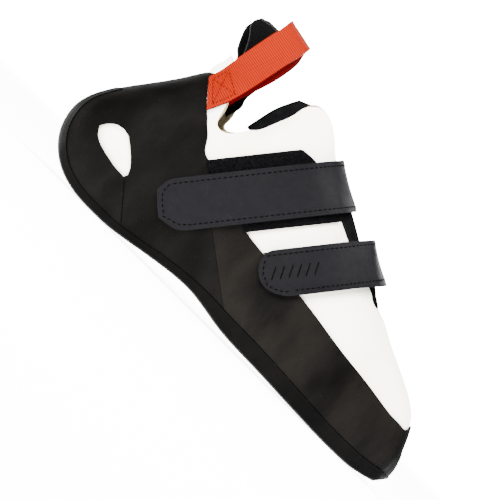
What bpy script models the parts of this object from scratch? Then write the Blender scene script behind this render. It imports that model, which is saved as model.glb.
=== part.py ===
"""A climbing shoe for the right foot, standing on its sole.

Metres, toe towards +X, up +Z, lateral side towards -Y. The origin is on the floor under the heel.
"""

import math
from collections import namedtuple

import bpy
from mathutils import Vector
from mathutils.bvhtree import BVHTree

LENGTH = 0.255
BALL_WIDTH = 0.090
HEEL_WIDTH = 0.062
INSTEP_HEIGHT = 0.1244
HEEL_HEIGHT = 0.1095

WALL = 0.0018
RUBBER = 0.0015
RUBBER_EDGE = 0.0008
SOLE = 0.0045
SOLE_STEP = 0.0005
SOLE_CHAMFER = 0.0010
GAP = 0.0003

WINDOW_LENGTH = 0.0285
WINDOW_HEIGHT = 0.0175

TONGUE_THICKNESS = 0.0030
TONGUE_BULGE = 0.0055
TONGUE_WING = 0.0110
WING_INWARD = 0.0127
WING_MIDDLE = 0.0066
TONGUE_ROWS = 3

STRAP_SLOPE = math.radians(51.3)
STRAP_THICKNESS = 0.0020
UPPER_STRAP_WIDTH = 0.0275
UPPER_STRAP_REACH = 0.0436
LOWER_STRAP_WIDTH = 0.0246
LOWER_STRAP_REACH = 0.0200
UPPER_PATCH_WIDTH = 0.0396
UPPER_PATCH_REACH = 0.0500
LOWER_PATCH_WIDTH = 0.0255
LOWER_PATCH_REACH = 0.0335
PATCH_THICKNESS = 0.0010
PATCH_CLEARANCE = 0.0005
STRAP_CLEARANCE = 0.0009
LOOP_CLEARANCE = 0.0012

WEBBING_WIDTH = 0.0175
WEBBING_THICKNESS = 0.0014
LOOP_TOP = 0.0190
LOOP_DEPTH = 0.0100
LOOP_SKEW = 0.0035

# One row for each section of the last, from the toe to the heel. A section is a slanted plane
# from a place on the sole line (foot, rise) to one on the top line (head, crest).
# foot, head: along LENGTH. rise, crest: of the local height. under: of SOLE, above the outer line.
# over: of the rubber cover, below the top line. middle, lean: sideways, of BALL_WIDTH.
# tread, girth: half widths over the rubber, of the local width. corner: of HEEL_WIDTH.
# widest, rubber: how far up the section. edge: angle of the sole's edge on the corner, degrees.
# opening: half gap at the top, of HEEL_WIDTH. crown: how round the top is. flat: flatness below.
Section = namedtuple(
    "Section",
    "foot rise head crest under over middle lean tread girth corner"
    " widest rubber edge opening crown flat",
)
SECTIONS = (
    Section(.819, .051, .822, .139, .45, 1.0, .150, .00, .075, .076, .046, .40, .50, 10, .000, .50, 0.0),
    Section(.805, .030, .807, .224, .70, 1.0, .129, .00, .145, .147, .054, .35, .60, 10, .000, .50, 0.3),
    Section(.789, .019, .784, .308, .85, 0.8, .111, .00, .197, .199, .058, .30, .84, 10, .000, .50, 1.0),
    Section(.737, .000, .735, .384, 1.0, 0.5, .090, .02, .307, .309, .060, .25, .68, 10, .000, .50, 1.0),
    Section(.661, .000, .655, .464, 1.0, 0.5, .052, .05, .420, .424, .060, .20, .61, 10, .000, .50, 1.0),
    Section(.560, .010, .570, .557, 1.0, 0.5, .013, .06, .478, .484, .073, .16, .53, 10, .000, .50, 1.0),
    Section(.461, .019, .478, .658, 1.0, 0.5, -.020, .06, .472, .484, .090, .14, .49, 12, .090, .50, 1.0),
    Section(.366, .025, .387, .751, .95, 0.5, -.042, .05, .462, .486, .130, .15, .45, 25, .120, .52, 1.0),
    Section(.268, .059, .301, .852, .70, 0.5, -.049, .04, .432, .482, .190, .20, .39, 48, .137, .56, 1.0),
    Section(.181, .044, .231, .979, .67, 0.4, -.040, .03, .469, .523, .190, .25, .39, 50, .153, .62, 1.0),
    Section(.107, .020, .169, .970, .67, 0.2, -.024, .02, .477, .516, .190, .25, .45, 52, .242, .80, 1.0),
    Section(.041, .000, .119, .736, .67, 0.0, -.011, .01, .477, .510, .200, .30, .70, 52, .340, .95, 1.0),
    Section(-.029, .000, .097, .694, .67, 0.0, .000, .00, .477, .503, .210, .35, .84, 52, .371, 1.0, 1.0),
    Section(-.103, .043, .082, .686, .60, 0.0, .000, .00, .485, .503, .274, .40, .91, 54, .379, 1.0, 0.6),
    Section(-.159, .163, .072, .693, .50, 0.0, .000, .00, .477, .494, .320, .45, .93, 54, .384, 1.0, 0.1),
    Section(-.174, .336, .065, .707, .50, 0.0, .000, .00, .453, .481, .320, .50, .93, 54, .384, 1.0, 0.0),
    Section(-.138, .504, .060, .729, .45, 0.0, .000, .00, .413, .461, .290, .55, .90, 54, .380, 1.0, 0.0),
    Section(-.093, .638, .056, .772, .33, 0.0, .000, .00, .397, .436, .274, .65, .78, 54, .365, 1.0, 0.0),
    Section(-.056, .758, .045, .844, .33, 0.0, .000, .00, .373, .403, .250, .70, .55, 54, .335, 1.0, 0.0),
    Section(-.031, .863, .025, .921, .33, 0.0, .000, .00, .313, .336, .190, .75, .18, 54, .271, 1.0, 0.0),
    Section(-.025, .935, .002, .976, .33, 0.0, .000, .00, .229, .245, .100, .80, .20, 54, .182, 1.0, 0.0),
)
TOE_TIP = (0.826, 0.091, 0.156)
HEEL_TIP = (-0.019, 1.0, 0.0)

# The window in the heel rubber: its middle, of LENGTH and HEEL_HEIGHT, and its outline around it.
WINDOW_PLACE = (-0.068, 0.317)
WINDOW_OUTLINE = (
    (-.31, .00), (-.22, .24), (-.09, .39), (.06, .44), (.20, .39), (.33, .24), (.52, -.03),
    (.65, -.27), (.69, -.45), (.66, -.56), (.43, -.55), (.15, -.46), (-.09, -.35), (-.22, -.21),
)

# The seam between the toe and heel rubber, in the side view, of LENGTH and INSTEP_HEIGHT.
RAND_SEAM = ((.368, .060), (.212, .300), (.175, .355), (.155, .550))

# Lines along a strap or patch, from the heel's side to the toe's: how far across its width, and
# where it starts and ends above its anchor, of its reach.
Strand = namedtuple("Strand", "across start end")
UPPER_STRAP = (
    Strand(-.50, -.84, -.20),
    Strand(-.33, -.98, -.20),
    Strand(-.10, -1.0, -.20),
    Strand(.20, -1.0, -.20),
    Strand(.38, -.88, -.20),
    Strand(.50, -.78, -.20),
)
LOWER_STRAP = (
    Strand(-.50, -.69, -.20),
    Strand(-.37, -.87, -.20),
    Strand(-.14, -1.0, -.20),
    Strand(.12, -.99, -.20),
    Strand(.33, -.83, -.20),
    Strand(.50, -.42, -.20),
)
UPPER_PATCH = (
    Strand(-.54, -.32, .67),
    Strand(-.35, -.25, .82),
    Strand(-.15, -.19, .85),
    Strand(.05, -.13, .90),
    Strand(.25, -.07, .96),
    Strand(.46, -.01, 1.0),
)
LOWER_PATCH = (
    Strand(-.45, -.50, 1.0),
    Strand(-.30, -.42, 1.0),
    Strand(-.05, -.31, 1.0),
    Strand(.20, -.19, 1.0),
    Strand(.44, -.08, 1.0),
)
# The anchor of each strap and of the patch below it, of LENGTH and INSTEP_HEIGHT.
UPPER_ANCHOR = (.206, .485)
LOWER_ANCHOR = (.391, .430)
# How far below each anchor the middle of the shoe's cut is.
UPPER_DEPTH = 0.022
LOWER_DEPTH = 0.046

# A pull loop's outer leg, from its foot to its top: the middle, of LENGTH and HEEL_HEIGHT, and
# how far its width leans down towards the toe, in degrees.
Rung = namedtuple("Rung", "along rise slant")
OUTER_LOOP = (
    Rung(.007, .787, 49),
    Rung(.018, .847, 40),
    Rung(.025, .899, 31),
    Rung(.032, .988, 17),
    Rung(.040, 1.084, 14),
    Rung(.047, 1.177, 14),
    Rung(.053, 1.223, 14),
    Rung(.055, 1.266, 12),
)
INNER_LOOP = (
    Rung(.007, .787, 49),
    Rung(.018, .847, 40),
    Rung(.025, .899, 30),
    Rung(.031, .987, 15),
    Rung(.0175, 1.065, 8),
    Rung(.006, 1.130, 3),
    Rung(.000, 1.175, 0),
    Rung(-.002, 1.200, 0),
)
# The end of each loop inside the collar, upwards, and the first rung that is clear of the collar.
LOOP_INSIDE = (
    Rung(.018, .825, 50),
    Rung(.022, .892, 45),
)
FREE_RUNG = 3

# Places in the table above, counted from the toe.
TOE_EDGE = 2
THROAT = 5
COLLAR_FRONT = 10
SOLE_END = 16
RUBBER_END = 19
INSOLE_ENDS = (2, 14)

# Cells around half a section, from the sole's middle to the top line.
SOLE_CELLS = (2, 2)
RUBBER_CELLS = 4
SIDE_CELLS = 6
SOLE_ROW = sum(SOLE_CELLS)
RUBBER_ROW = SOLE_ROW + RUBBER_CELLS
TOP_ROW = RUBBER_ROW + SIDE_CELLS

COVER = WALL + GAP + RUBBER
FLAT_PROFILE = (0.0, 0.52, 0.86, 0.985)


def clear_scene():
    for item in list(bpy.data.objects):
        bpy.data.objects.remove(item, do_unlink=True)


def blend(low, high, share):
    return low + (high - low) * share


def between(value, low, high):
    return min(max((value - low) / (high - low), 0.0), 1.0)


def height_at(along):
    """The heel's height behind the ankle, the instep's in front of it."""
    return blend(HEEL_HEIGHT, INSTEP_HEIGHT, between(along, 0.06, 0.16))


def width_at(along):
    return blend(HEEL_WIDTH, BALL_WIDTH, between(along, 0.18, 0.46))


def in_between(rows):
    """The rows with a smooth one halfway between each pair."""
    filled = []
    last = len(rows) - 1
    for place, row in enumerate(rows):
        filled.append(row)
        if place == last:
            break
        before = rows[max(place - 1, 0)]
        after = rows[place + 1]
        beyond = rows[min(place + 2, last)]
        values = []
        for old, here, there, new in zip(before, row, after, beyond):
            middle = (here + there) / 2
            values.append(middle + ((there - old) - (new - here)) / 16)
        filled.append(Section(*values))
    return filled


STATIONS = in_between(SECTIONS)
LAST = len(STATIONS) + 1


def station(place):
    """The lattice station of a row of the table. Station 0 is the tip of the toe."""
    return 1 + 2 * place


def line_points(kind):
    """The sole line or the top line, as points of the side view."""
    points = []
    for row in STATIONS:
        if kind == "foot":
            along, share = row.foot, row.rise
        else:
            along, share = row.head, row.crest
        points.append(Vector((along * LENGTH, 0.0, max(share, 0.0) * height_at(along))))
    return points


def toe_tip():
    return Vector((TOE_TIP[0] * LENGTH, TOE_TIP[2] * BALL_WIDTH, TOE_TIP[1] * INSTEP_HEIGHT))


def moved_in(points, depths, turn):
    """A line of the side view that starts at the tip of the toe, moved square to itself."""
    moved = []
    last = len(points) - 1
    for place, point in enumerate(points):
        before = points[place - 1] if place else toe_tip()
        run = points[min(place + 1, last)] - before
        normal = Vector((run.z, 0.0, -run.x)).normalized() * turn
        moved.append(point + normal * depths[place])
    return moved


def profile(row, height, side):
    """Half a section of the last, from the middle of the sole to the top line.

    Points are (across, up), and the two marks are the sole's edge and the rubber's edge.
    """
    width = width_at(row.foot)
    tread = row.tread * width - COVER
    girth = row.girth * width - COVER
    corner = min(row.corner * HEEL_WIDTH, tread * 0.98, height * 0.9)
    opening = max(row.opening, 0.0) * HEEL_WIDTH
    waist = corner + row.widest * (height - corner)
    steps = 12
    points = [((tread - corner) * place / steps, 0.0) for place in range(steps)]
    marks = [len(points)]
    for place in range(steps + 1):
        turn = math.radians(90 - 90 * place / steps)
        points.append((tread - corner + corner * math.cos(turn), corner * (1 - math.sin(turn))))
    for place in range(1, steps + 1):
        share = place / steps
        points.append((girth - (girth - tread) * (1 - share) ** 2, blend(corner, waist, share)))
    for place in range(1, 2 * steps + 1):
        turn = math.radians(90 * place / (2 * steps))
        across = opening + (girth - opening) * max(math.cos(turn), 0.0) ** (2 * row.crown)
        points.append((across, blend(waist, height, math.sin(turn))))
    shifted = []
    for across, up in points:
        skew = row.middle + row.lean * (up / height) ** 2
        shifted.append((skew * BALL_WIDTH + side * across, up))
    lengths = [0.0]
    for one, two in zip(shifted, shifted[1:]):
        lengths.append(lengths[-1] + math.dist(one, two))
    edge_place = marks[0] + steps * (1 - row.edge / 90)
    edge_low = int(edge_place)
    edge = blend(lengths[edge_low], lengths[edge_low + 1], edge_place - edge_low)
    past = next(place for place, point in enumerate(shifted) if point[1] > row.rubber * height)
    share = between(row.rubber * height, shifted[past - 1][1], shifted[past][1])
    rubber = max(blend(lengths[past - 1], lengths[past], share), edge * 1.25)
    return shifted, lengths, (lengths[marks[0]], edge, rubber, lengths[-1])


def at_length(points, lengths, wanted):
    for place in range(1, len(points)):
        if lengths[place] >= wanted:
            share = (wanted - lengths[place - 1]) / max(lengths[place] - lengths[place - 1], 1e-9)
            one, two = points[place - 1], points[place]
            return blend(one[0], two[0], share), blend(one[1], two[1], share)
    return points[-1]


def row_lengths(marks):
    """Where each lattice row lies along half a section, closer together on the heel's corner."""
    lengths = []
    start = 0.0
    for end, cells in zip(marks, SOLE_CELLS + (RUBBER_CELLS, SIDE_CELLS)):
        crowding = 1.5 if cells == RUBBER_CELLS else 1.0
        lengths += [blend(start, end, (cell / cells) ** crowding) for cell in range(cells)]
        start = end
    return lengths + [start]


def make_last():
    """The last's surface: points by (station, row), with rows below zero on the medial side."""
    under = [WALL + GAP + row.under * SOLE for row in STATIONS]
    over = [row.over * COVER for row in STATIONS]
    low = moved_in(line_points("foot"), under, 1)
    high = moved_in(line_points("head"), over, -1)
    surface = {}
    for place, row in enumerate(STATIONS):
        run = high[place] - low[place]
        for side in (-1, 1):
            points, lengths, marks = profile(row, run.length, side)
            for rank, wanted in enumerate(row_lengths(marks)):
                across, up = at_length(points, lengths, wanted)
                spot = low[place] + run.normalized() * up + Vector((0.0, across, 0.0))
                surface[place + 1, -side * rank] = spot
    tip = toe_tip() - Vector((COVER, 0.0, 0.0))
    back = Vector((HEEL_TIP[0] * LENGTH + WALL, 0.0, HEEL_TIP[1] * HEEL_HEIGHT))
    for rank in range(-TOP_ROW, TOP_ROW + 1):
        surface[0, rank] = tip
        surface[LAST, rank] = back
    return surface


def corner_name(spot):
    """One name for the corners that share a place: the two tips and the closed ridge."""
    place, rank = spot
    if place in (0, LAST):
        return place, 0
    if rank == -TOP_ROW and place <= station(THROAT):
        return place, TOP_ROW
    return place, rank


def cell_corners(cell):
    place, rank = cell
    spots = ((place, rank), (place + 1, rank), (place + 1, rank + 1), (place, rank + 1))
    names = []
    for spot in spots:
        name = corner_name(spot)
        if name not in names:
            names.append(name)
    return names


def all_cells():
    return [(place, rank) for place in range(LAST) for rank in range(-TOP_ROW, TOP_ROW)]


def outward(surface):
    """The direction away from the foot at each corner."""
    sums = {}
    for cell in all_cells():
        names = cell_corners(cell)
        spots = [surface[name] for name in names]
        middle = sum(spots, Vector()) / len(spots)
        area = Vector()
        for one, two in zip(spots, spots[1:] + spots[:1]):
            area += (one - middle).cross(two - middle)
        for name in names:
            sums[name] = sums.get(name, Vector()) - area.normalized()
    return {name: total.normalized() for name, total in sums.items()}


def has_cell(cells, place, rank):
    if place <= station(THROAT) - 1 and rank == TOP_ROW:
        rank = -TOP_ROW
    if place <= station(THROAT) - 1 and rank == -TOP_ROW - 1:
        rank = TOP_ROW - 1
    return (place, rank) in cells


def drawn_in(name, cells, surface):
    """A corner of a piece's edge, moved into the piece by the clearance."""
    place, rank = name
    spot = surface[name]
    if place in (0, LAST):
        ring = 1 if place == 0 else LAST - 1
        near = [surface[ring, cell[1]] for cell in cells if cell[0] == min(place, ring)]
        if len(near) == 2 * TOP_ROW:
            return spot
        run = sum(near, Vector()) / len(near) - spot
        return spot + run.normalized() * GAP
    ahead = [has_cell(cells, place, rank - 1), has_cell(cells, place, rank)]
    behind = [has_cell(cells, place - 1, rank - 1), has_cell(cells, place - 1, rank)]
    along = sum(ahead) - sum(behind)
    around = ahead[1] + behind[1] - ahead[0] - behind[0]
    moved = spot.copy()
    if along:
        step = 1 if along > 0 else -1
        run = surface[corner_name((place + step, rank))] - spot
        moved += run.normalized() * GAP
    if around:
        step = 1 if around > 0 else -1
        run = surface[corner_name((place, rank + step))] - spot
        moved += run.normalized() * GAP
    return moved


def solid_of_cells(cells, surface, inner, outer, clearance):
    """Points and faces of a wall over the given cells, from an inner to an outer distance."""
    away = outward(surface)
    cells = set(cells)
    points = []
    numbers = {}
    for cell in sorted(cells):
        for name in cell_corners(cell):
            if name in numbers:
                continue
            spot = drawn_in(name, cells, surface) if clearance else surface[name]
            numbers[name] = len(points)
            points.append(inner(name, spot, away[name]))
            points.append(outer(name, spot, away[name]))
    faces = []
    edges = {}
    for cell in sorted(cells):
        names = cell_corners(cell)
        ids = [numbers[name] for name in names]
        faces.append(ids)
        faces.append([ids[0] + 1] + [number + 1 for number in reversed(ids[1:])])
        for one, two in zip(ids, ids[1:] + ids[:1]):
            edges[one, two] = True
    for one, two in edges:
        if (two, one) not in edges:
            faces.append([one, one + 1, two + 1, two])
    return points, faces


def solid_of_grids(outer, inner):
    """Points and faces of a sheet between two grids of points, closed at its four edges."""
    rows = len(outer)
    columns = len(outer[0])
    points = [point for row in outer for point in row] + [point for row in inner for point in row]
    below = rows * columns
    faces = []
    for row in range(rows - 1):
        for column in range(columns - 1):
            one = row * columns + column
            ring = [one + columns, one + columns + 1, one + 1, one]
            faces.append(ring)
            faces.append([below + number for number in (ring[0], ring[3], ring[2], ring[1])])
    border = list(range(columns))
    border += [row * columns + columns - 1 for row in range(1, rows)]
    border += [(rows - 1) * columns + column for column in range(columns - 2, -1, -1)]
    border += [row * columns for row in range(rows - 2, 0, -1)]
    for one, two in zip(border, border[1:] + border[:1]):
        faces.append([one, two, below + two, below + one])
    return points, faces


def material_for(name, colour, roughness, metallic=0.0):
    material = bpy.data.materials.new(name)
    material.use_nodes = True
    shader = material.node_tree.nodes["Principled BSDF"]
    shader.inputs["Base Color"].default_value = (*colour, 1.0)
    shader.inputs["Roughness"].default_value = roughness
    shader.inputs["Metallic"].default_value = metallic
    return material


def add_piece(name, points, faces, colour, roughness):
    mesh = bpy.data.meshes.new(name)
    triangles = [face[:3] for face in faces]
    triangles += [(face[0], face[2], face[3]) for face in faces if len(face) == 4]
    mesh.from_pydata([tuple(point) for point in points], [], triangles)
    mesh.validate()
    mesh.shade_smooth()
    mesh.set_sharp_from_angle(angle=math.radians(40))
    mesh.materials.append(material_for(name, colour, roughness))
    piece = bpy.data.objects.new(name, mesh)
    bpy.context.scene.collection.objects.link(piece)
    return piece


def wall_at(distance):
    def place(name, spot, away):
        return spot + away * distance

    return place


WHITE = (0.86, 0.84, 0.80)
BLACK = (0.02, 0.019, 0.018)


def make_upper(surface):
    cells = []
    front, back = (station(place) for place in INSOLE_ENDS)
    for place, rank in all_cells():
        under_foot = -SOLE_ROW + 1 <= rank < SOLE_ROW - 1
        if not under_foot or not front <= place < back:
            cells.append((place, rank))
    shape = solid_of_cells(cells, surface, wall_at(0.0), wall_at(WALL), False)
    return add_piece("upper", *shape, WHITE, 0.7)


def make_insole(surface):
    front, back = (station(place) for place in INSOLE_ENDS)
    cells = []
    for place in range(front, back):
        cells += [(place, rank) for rank in range(-SOLE_ROW + 1, SOLE_ROW - 1)]
    shape = solid_of_cells(cells, surface, wall_at(0.0), wall_at(WALL), True)
    return add_piece("insole", *shape, (0.16, 0.12, 0.07), 0.9)


def make_outsole(surface):
    base = line_points("foot")

    def outer(name, spot, away):
        place, rank = name
        if place == 0 or abs(rank) == SOLE_ROW:
            return spot + away * (COVER + SOLE_STEP)
        row = STATIONS[place - 1]
        round_spot = spot + away * (WALL + GAP + row.under * SOLE)
        side = 1 if rank > 0 else -1
        edge_name = (place, side * SOLE_ROW)
        edge = surface[edge_name] + away_all[edge_name] * (COVER + SOLE_STEP)
        centre = base[place - 1] + Vector((0.0, row.middle * BALL_WIDTH, 0.0))
        up = (surface[place, 0] - centre)
        up.y = 0.0
        up.normalize()
        edge = edge - up * (edge - centre).dot(up)
        flat_spot = centre.lerp(edge, FLAT_PROFILE[abs(rank)])
        if abs(rank) == SOLE_ROW - 1:
            flat_spot += up * SOLE_CHAMFER
        mixed = round_spot.lerp(flat_spot, min(max(row.flat, 0.0), 1.0))
        mixed.z = max(mixed.z, 0.0)
        return mixed

    away_all = outward(surface)
    cells = []
    for place in range(station(SOLE_END)):
        cells += [(place, rank) for rank in range(-SOLE_ROW, SOLE_ROW)]
    shape = solid_of_cells(cells, surface, wall_at(WALL + GAP), outer, False)
    return add_piece("outsole", *shape, BLACK, 0.75)


def prism(name, outline, half_width):
    """A closed cutter across the shoe with an outline in the side view."""
    area = sum(one[0] * two[1] - two[0] * one[1] for one, two in zip(outline, outline[1:] + outline[:1]))
    if area < 0:
        outline = outline[::-1]
    count = len(outline)
    points = [(x, -half_width, z) for x, z in outline] + [(x, half_width, z) for x, z in outline]
    faces = [list(range(count)), list(range(2 * count - 1, count - 1, -1))]
    for one in range(count):
        two = (one + 1) % count
        faces.append([two, one, count + one, count + two])
    mesh = bpy.data.meshes.new(name)
    mesh.from_pydata(points, [], faces)
    cutter = bpy.data.objects.new(name, mesh)
    bpy.context.scene.collection.objects.link(cutter)
    cutter.hide_render = True
    cutter.display_type = "WIRE"
    return cutter


def cut(piece, cutter, operation):
    modifier = piece.modifiers.new(cutter.name, "BOOLEAN")
    modifier.object = cutter
    modifier.operation = operation
    modifier.solver = "EXACT"


def make_rand(surface):
    def outer(name, spot, away):
        place, rank = name
        edge = abs(rank) == RUBBER_ROW and station(TOE_EDGE) <= place
        edge = edge or (place == station(TOE_EDGE) and abs(rank) > RUBBER_ROW)
        edge = edge or place == station(RUBBER_END)
        return spot + away * (WALL + GAP + (RUBBER_EDGE if edge else RUBBER))

    cells = []
    for place, rank in all_cells():
        half = rank if rank >= 0 else -rank - 1
        side = SOLE_ROW <= half < RUBBER_ROW and place < station(RUBBER_END)
        toe = half >= SOLE_ROW and place < station(TOE_EDGE)
        heel = half < SOLE_ROW and station(SOLE_END) <= place < station(RUBBER_END)
        if side or toe or heel:
            cells.append((place, rank))
    points, faces = solid_of_cells(cells, surface, wall_at(WALL + GAP), outer, True)
    toe_rand = add_piece("rand_toe", points, faces, BLACK, 0.75)
    heel_rand = add_piece("rand_heel", points, faces, BLACK, 0.75)
    seam = [(along * LENGTH, rise * INSTEP_HEIGHT) for along, rise in RAND_SEAM]
    front = [(LENGTH, INSTEP_HEIGHT), (LENGTH, -SOLE), (seam[0][0] + SOLE, -SOLE)]
    cut(toe_rand, prism("toe_side", seam + front, BALL_WIDTH), "INTERSECT")
    middle = (WINDOW_PLACE[0] * LENGTH, WINDOW_PLACE[1] * HEEL_HEIGHT)
    window = []
    for along, rise in WINDOW_OUTLINE:
        window.append((middle[0] + along * WINDOW_LENGTH, middle[1] + rise * WINDOW_HEIGHT))
    cut(heel_rand, prism("window_cutter", window, BALL_WIDTH), "DIFFERENCE")
    behind = [(x - GAP, z) for x, z in seam + front]
    cut(heel_rand, prism("heel_side", behind, BALL_WIDTH), "DIFFERENCE")


def make_tongue(surface):
    """A padded strip inside the upper, bridging the throat, with a wing past each collar edge."""
    away = outward(surface)
    start, end = station(THROAT) + 1, station(COLLAR_FRONT)
    outer = []
    inner = []
    for place in range(start, end + 1):
        spots = []
        for side in (1, -1):
            ranks = range(TOP_ROW - TONGUE_ROWS, TOP_ROW + 1)
            half = [(surface[place, side * rank], away[place, side * rank]) for rank in ranks]
            spots.append(half)
        lateral, medial = spots
        crown = surface[place, TOP_ROW] - surface[place, 0]
        crown.y = 0.0
        crown.normalize()
        gap = (medial[-1][0] - lateral[-1][0]).length
        along = between(place, start, end)
        bulge = min(TONGUE_BULGE, gap * 0.4) * math.sin(math.pi * along) ** 0.5
        bridge = []
        for share in (0.25, 0.5, 0.75):
            spot = lateral[-1][0].lerp(medial[-1][0], share) + crown * (4 * share * (1 - share) * bulge)
            bridge.append((spot, (lateral[-1][1].lerp(medial[-1][1], share) + crown).normalized()))
        line = medial + bridge[::-1] + lateral[::-1]
        outer.append([spot - direction * GAP for spot, direction in line])
        inner.append([spot - direction * (GAP + TONGUE_THICKNESS) for spot, direction in line])
    for grid in (outer, inner):
        tucked = []
        for one, two in zip(grid[0], grid[1]):
            tucked.append(one + (one - two) * 0.5 - Vector((0.0, 0.0, WALL)))
        grid.insert(0, tucked)
        wing = []
        for column, (one, two) in enumerate(zip(grid[-2], grid[-1])):
            run = Vector((two.x - one.x, 0.0, two.z - one.z)).normalized()
            edge = min(column, len(grid[-1]) - 1 - column)
            aside = column / (len(grid[-1]) - 1) * 2 - 1
            inward = WING_INWARD * aside
            reach = TONGUE_WING if edge < TONGUE_ROWS else WING_MIDDLE
            wing.append(two + run * reach + Vector((0.0, inward, 0.0)))
        grid.append(wing)
    return add_piece("tongue", *solid_of_grids(outer, inner), (0.02, 0.02, 0.022), 0.95)


def surface_tree(names):
    """The outside of the named pieces as built so far, to lay other pieces on."""
    graph = bpy.context.evaluated_depsgraph_get()
    points = []
    faces = []
    for name in names:
        piece = bpy.data.objects[name].evaluated_get(graph)
        mesh = piece.to_mesh()
        first = len(points)
        points += [vertex.co.copy() for vertex in mesh.vertices]
        faces += [[first + number for number in face.vertices] for face in mesh.polygons]
        piece.to_mesh_clear()
    return BVHTree.FromPolygons(points, faces)


UP_STRAP = Vector((math.cos(STRAP_SLOPE), 0.0, math.sin(STRAP_SLOPE)))
ACROSS_STRAP = Vector((math.sin(STRAP_SLOPE), 0.0, -math.cos(STRAP_SLOPE)))


def slice_line(tree, base, depth, spread):
    """The shoe's outline in a strap's plane, over the top from the lateral to the medial side.

    Points are (sideways, above the base), the farthest out of five planes side by side. Where
    the outline is hollow the line bridges it, as a strap pulled tight does.
    """
    line = []
    for step in range(-25, 116):
        turn = math.radians(2 * step)
        run = UP_STRAP * math.sin(turn) - Vector((0.0, math.cos(turn), 0.0))
        near = LENGTH
        for plane in range(-2, 3):
            start = base - UP_STRAP * depth + run * LENGTH + ACROSS_STRAP * spread * plane / 2
            hit, _, _, distance = tree.ray_cast(start, -run)
            if hit is not None:
                near = min(near, distance)
        if near == LENGTH:
            continue
        spot = run * (LENGTH - near) - UP_STRAP * depth
        point = (spot.y, spot.dot(UP_STRAP))
        while len(line) > 1:
            one, two = line[-2], line[-1]
            bend = (two[0] - one[0]) * (point[1] - two[1]) - (two[1] - one[1]) * (point[0] - two[0])
            if bend < 0:
                break
            line.pop()
        line.append(point)
    return line


def stretch(line, start, end, over_top):
    """The part of a slice line from one level up the lateral side to another, and its lengths."""
    top = max(range(len(line)), key=lambda place: line[place][1])
    near, far = line[:top + 1], line[top:]
    part = [point for point in near if point[1] > start]
    first = next(place for place, point in enumerate(near) if point[1] > start)
    share = between(start, near[first - 1][1], near[first][1])
    part.insert(0, (blend(near[first - 1][0], near[first][0], share), start))
    if over_top:
        part += [point for point in far[1:] if point[1] > end]
        tail = far
    else:
        part = [point for point in part if point[1] < end]
        tail = near
    for one, two in zip(tail, tail[1:]):
        if min(one[1], two[1]) < end <= max(one[1], two[1]):
            share = (end - one[1]) / (two[1] - one[1])
            part.append((blend(one[0], two[0], share), end))
            break
    lengths = [0.0]
    for one, two in zip(part, part[1:]):
        lengths.append(lengths[-1] + math.dist(one, two))
    return part, lengths


def laid_band(tree, anchor, depth, width, reach, strands, columns, thickness, over_top):
    """Two grids of points for a band that lies on the shoe, its outside and its inside."""
    outer = []
    inner = []
    clearance = STRAP_CLEARANCE if over_top else PATCH_CLEARANCE
    spot = Vector((anchor[0] * LENGTH, 0.0, anchor[1] * INSTEP_HEIGHT))
    for strand in strands:
        base = spot + ACROSS_STRAP * strand.across * width
        line = slice_line(tree, base, depth, width / (2 * len(strands) - 2))
        part, lengths = stretch(line, strand.start * reach, strand.end * reach, over_top)
        places = [lengths[-1] * column / (columns - 1) for column in range(columns)]
        points = [at_length(part, lengths, place) for place in places]
        high = []
        low = []
        for place, point in enumerate(points):
            one = points[max(place - 1, 0)]
            two = points[min(place + 1, columns - 1)]
            run = Vector((two[0] - one[0], two[1] - one[1])).normalized()
            for grid, distance in ((low, clearance), (high, clearance + thickness)):
                across = point[0] - run.y * distance
                up = point[1] + run.x * distance
                grid.append(base + UP_STRAP * up + Vector((0.0, across, 0.0)))
        outer.append(high)
        inner.append(low)
    return outer, inner


def make_patches():
    colour = (0.008, 0.008, 0.009)
    tree = surface_tree(("upper", "rand_toe", "rand_heel"))
    size = (UPPER_PATCH_WIDTH, UPPER_PATCH_REACH)
    grids = laid_band(tree, UPPER_ANCHOR, UPPER_DEPTH, *size, UPPER_PATCH, 9, PATCH_THICKNESS, False)
    add_piece("patch_upper", *solid_of_grids(*grids), colour, 1.0)
    size = (LOWER_PATCH_WIDTH, LOWER_PATCH_REACH)
    grids = laid_band(tree, LOWER_ANCHOR, LOWER_DEPTH, *size, LOWER_PATCH, 9, PATCH_THICKNESS, False)
    add_piece("patch_lower", *solid_of_grids(*grids), colour, 1.0)


def make_straps():
    colour = (0.024, 0.024, 0.027)
    below = ("upper", "rand_toe", "rand_heel", "tongue", "patch_upper", "patch_lower")
    tree = surface_tree(below)
    size = (UPPER_STRAP_WIDTH, UPPER_STRAP_REACH)
    grids = laid_band(tree, UPPER_ANCHOR, UPPER_DEPTH, *size, UPPER_STRAP, 28, STRAP_THICKNESS, True)
    add_piece("strap_upper", *solid_of_grids(*grids), colour, 0.6)
    size = (LOWER_STRAP_WIDTH, LOWER_STRAP_REACH)
    grids = laid_band(tree, LOWER_ANCHOR, LOWER_DEPTH, *size, LOWER_STRAP, 24, STRAP_THICKNESS, True)
    add_piece("strap_lower", *solid_of_grids(*grids), colour, 0.6)


def wall_side(tree, spot, side, inside, before):
    """How far aside the collar's wall is at a place of the side view, or else the value before."""
    start = Vector((spot.x, 0.0 if inside else side * LENGTH, spot.z))
    run = Vector((0.0, side if inside else -side, 0.0))
    hit = tree.ray_cast(start, run)[0]
    if hit is None or side * hit.y < LOOP_DEPTH:
        return before
    return side * hit.y


def cleared(tree, spot, run):
    """A place moved along a direction till webbing there is clear of the shoe."""
    spot = spot.copy()
    while tree.find_nearest(spot)[3] < LOOP_CLEARANCE + WEBBING_THICKNESS / 2:
        spot += run * GAP
    return spot


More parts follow.
